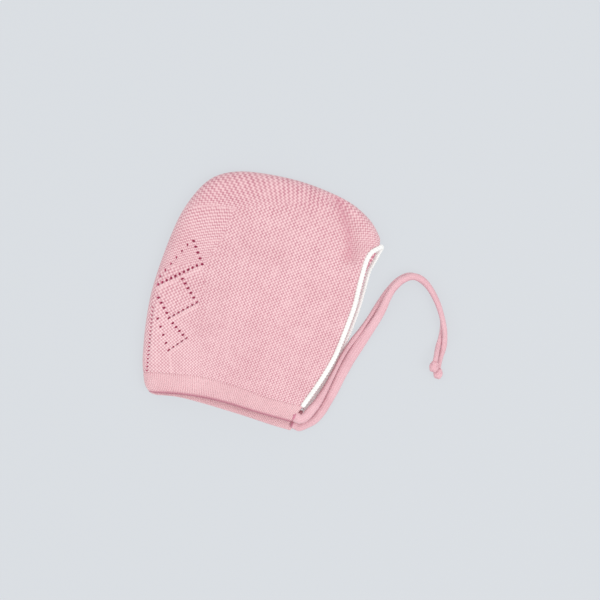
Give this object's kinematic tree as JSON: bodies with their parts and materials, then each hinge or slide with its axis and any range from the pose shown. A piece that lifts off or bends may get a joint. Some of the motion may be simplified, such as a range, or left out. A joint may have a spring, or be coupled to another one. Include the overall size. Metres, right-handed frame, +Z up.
{
  "type": "baby bonnet",
  "caption": "Knitted baby bonnet lying flat on its side, hollow between its layers, with open pointelle diamonds, a ribbed neck band, an edged face opening and knotted ties.",
  "frame": {"origin": "on the lower layer's flat outer face, under the middle of the hood", "axes": "+X from the back to the face opening, +Y from the neck to the crown, +Z up from the surface the bonnet lies on"},
  "size_m": [0.1998, 0.1623, 0.0215],
  "materials": {
    "pink_knit": "soft cotton knit in a moss stitch",
    "pink_rib": "soft cotton rib",
    "white_edging": "soft white cotton cord edging",
    "pink_tie": "soft cotton tubular knit"
  },
  "bodies": {
    "root": {"hood": "pink_knit", "neck_band": "pink_rib", "face_trim": "white_edging", "tie_near": "pink_tie", "tie_far": "pink_tie", "knot_near": "pink_tie", "knot_far": "pink_tie"}
  },
  "joints": []
}
